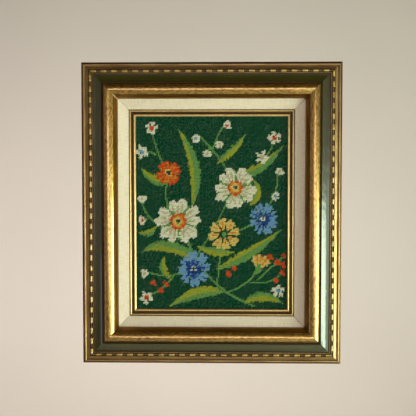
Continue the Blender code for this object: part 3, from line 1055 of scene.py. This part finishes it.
def build_frame():
    """Moulding, bead row, liner and slip on all four sides, and the board's finish."""
    pine = raw_pine()
    gold = antique_gold_leaf("rubbed_gold_leaf", "#E2B864", "#9A681E", "#4E2A06",
                             0.55, (0.28, 0.46))
    bronze = brushed_coat("brushed_bronze_paint", "#CAA878", "#8E6C48", 0.36, 0.85)
    amber_bronze = brushed_coat("toned_bronze_paint", "#9A6614", "#563404", 0.36, 0.75)
    # Dark glaze in the grooves, the quirks and the slip's scoop, also painting the shade in them
    dark_glaze_and_shade = brushed_coat("groove_glaze_and_painted_shade", "#5C3E14", "#36200A", 0.48, 0.5)
    olive = olive_paint()
    burnished_brown = brushed_coat("burnished_brown_paint", "#7C5428", "#3C240A", 0.36, 0.92)
    gesso = brushed_coat("bare_chalk_gesso", "#D2B08A", "#A07C58", 0.8, 0.0)
    moulding_finishes = [pine, umber_stain_and_shade(), gold, bronze, olive, amber_bronze, dark_glaze_and_shade,
                         burnished_brown, gesso]
    # Its dark glaze colour also paints the shade on the beads' flanks and in their gaps
    bead_gold = antique_gold_leaf("pressed_composition_gold", "#E6C270", "#B48A40", "#3A2A16",
                                  0.62, (0.5, 0.7), 0.7)
    liner_finishes = [pine, woven_linen()]
    bright_leaf = antique_gold_leaf("burnished_gold_leaf", "#FAD890", "#E6B86C", "#6A4418",
                                    0.62, (0.34, 0.52), 0.85)
    slip_finishes = [pine, bright_leaf, dark_glaze_and_shade]
    moulding_cut = even_cut(MOULDING_MITRE_GAP)
    liner_cut = even_cut(LINER_MITRE_GAP)
    liner_opened_cut = opened_cut(OPENED_MITRE_GAP, OPENED_MITRE_WIDENING)
    slip_cut = even_cut(SLIP_MITRE_GAP)
    for number, side in enumerate(SIDES):
        moulding = rail(f"gilded_moulding_{side}", moulding_bands(), side, moulding_finishes, 170,
                        moulding_cut, moulding_cut, MOULDING_RELIEF, MOULDING_SEED + number)
        if side in ("top", "left"):
            chip_mitre(moulding, moulding_bands(), at_end=side == "left")
        dress(moulding, "gilt_moulding", f"moulding_{side}")
        dress(bead_row(side, bead_gold, BEAD_SEED + number), "bead_row", f"bead_strip_{side}")
        liner = rail(f"linen_liner_{side}", liner_bands(), side, liner_finishes, 150,
                     liner_opened_cut if side == "right" else liner_cut,
                     liner_opened_cut if side == "top" else liner_cut,
                     LINER_RELIEF, LINER_SEED + number)
        dress(liner, "linen", f"liner_{side}")
        slip = rail(f"gold_slip_{side}", slip_bands(), side, slip_finishes, 150,
                    slip_cut, slip_cut, SLIP_RELIEF, SLIP_SEED + number)
        dress(slip, "gilt_slip", f"slip_{side}")
    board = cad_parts["backing_board"]
    board.data.materials.clear()
    board.data.materials.append(hardboard())


def build_needlepoint():
    """The canvas, and each yarn's stitches on it. The ground's are in two pieces."""
    cloth = dress(canvas_cloth(cotton_canvas()), "wool", "needlepoint_canvas")
    chart = flower_spray()
    lower = np.arange(ROWS)[:, None] < ROWS / 2
    for number, (name, code) in enumerate(YARNS.items()):
        yarn = wool_yarn(name, code)
        places = {"lower": lower, "upper": ~lower} if number == 0 else {"design": True}
        for part, where in places.items():
            stitched = stitches(f"stitches_{name}_{part}", (chart == number) & where, yarn,
                                STITCH_SEED + number)
            dress(stitched, "wool")


def plane(name, corners, material):
    """A flat piece of the studio, which isn't part of the object."""
    mesh = bpy.data.meshes.new(name)
    mesh.from_pydata(corners, [], [(0, 1, 2, 3)])
    mesh.materials.append(material)
    link_piece(name, mesh)


def soft_lamp(name, place, rotation, size, radiance, colour):
    """A soft rectangle of light. Its radiance is how bright its own face looks."""
    watts_for_radiance = 4
    data = bpy.data.lights.new(name, "AREA")
    data.shape = "RECTANGLE"
    data.size, data.size_y = size
    data.energy = radiance * watts_for_radiance * size[0] * size[1]
    data.color = srgb(colour)[:3]
    lamp = bpy.data.objects.new(name, data)
    lamp.location = place
    lamp.rotation_euler = rotation
    bpy.context.scene.collection.objects.link(lamp)
    return lamp


def lamp_on_panel(name, azimuth, elevation, distance, size, radiance, colour):
    """A soft lamp that faces the panel's middle. Azimuth turns right from straight ahead."""
    turn, lift = math.radians(azimuth), math.radians(elevation)
    place = (MIDDLE_X + distance * math.cos(lift) * math.sin(turn),
             -distance * math.cos(lift) * math.cos(turn),
             MIDDLE_Z + distance * math.sin(lift))
    return soft_lamp(name, place, (math.pi / 2 - lift, 0, turn), size, radiance, colour)


def studio():
    """Pale floor and backdrop, soft light from the right, and the photograph's camera."""
    floor_z = MIDDLE_Z - 1.1
    plane("studio_floor",
          [(-4, -4, floor_z), (4, -4, floor_z), (4, 4, floor_z), (-4, 4, floor_z)],
          plain_stage("pale_floor", "#E4DDD0"))
    plane("studio_backdrop", [(-4, 1.9, floor_z), (4, 1.9, floor_z), (4, 1.9, 3), (-4, 1.9, 3)],
          plain_stage("pale_backdrop", "#F6EEEA"))

    # A window on the right in two parts, as the cove and torus reflect it, and one nearer the front
    lamp_on_panel("side_window_near", 51, -16, 1.6, (0.62, 0.80), 7.4, "#E8FFE0")
    lamp_on_panel("side_window_far", 73, -10, 1.6, (0.60, 0.48), 7.4, "#E8FFE0")
    lamp_on_panel("front_window", 25, -12, 1.7, (0.7, 0.9), 1.6, "#E0FFDA")

    # Weak light from the rest of the room. The ceiling's has no reflection in the gilding
    lamp_on_panel("front_fill", 0, -1, 2.4, (1.2, 0.8), 2.3, "#FFF4F0")
    ceiling = lamp_on_panel("ceiling_bounce", 34, 24, 2.2, (2.4, 1.2), 0.78, "#FFF6F0")
    ceiling.visible_glossy = False
    lamp_on_panel("room_fill", -72, -20, 1.8, (0.5, 0.8), 0.45, "#E4E8FF")
    soft_lamp("backdrop_light", (-0.5, 0.45, floor_z + 0.83), (math.radians(78), 0, 0),
              (2.4, 0.5), 2.4, "#FFF2F2")

    # Air that is palest at eye level and brown below and above
    world = bpy.data.worlds.new("studio_air")
    world.use_nodes = True
    tree = world.node_tree
    direction = add_node(tree, "TexCoord", output="Generated")
    height = add_node(tree, "SeparateXYZ", {"Vector": direction}, "Z")
    share = add_node(tree, "Math", {0: height, 1: 0.5, 2: 0.5}, operation="MULTIPLY_ADD")
    air = add_node(tree, "ValToRGB", {"Fac": share}, stops=[
        (0.3, srgb("#8C846E")), (0.5, srgb("#FFF4E4")), (0.56, srgb("#F4E4CC")),
        (0.64, srgb("#7A603C"))])
    tree.links.new(air, tree.nodes["Background"].inputs["Color"])
    tree.nodes["Background"].inputs["Strength"].default_value = 0.31
    bpy.context.scene.world = world
    bpy.context.scene.view_settings.view_transform = "Standard"

    # Stands where the frame's and liner's edges fall where they do in the photograph
    data = bpy.data.cameras.new("camera")
    data.sensor_width = 36.0
    data.lens = 56.40
    data.clip_start = 0.02
    camera = bpy.data.objects.new("camera", data)
    camera.location = (0.0114, -0.8601, MIDDLE_Z + 0.0407)
    camera.rotation_euler = (math.radians(90 - 2.284), 0, math.radians(1.082))
    bpy.context.scene.collection.objects.link(camera)
    bpy.context.scene.camera = camera


build_frame()
build_needlepoint()
studio()
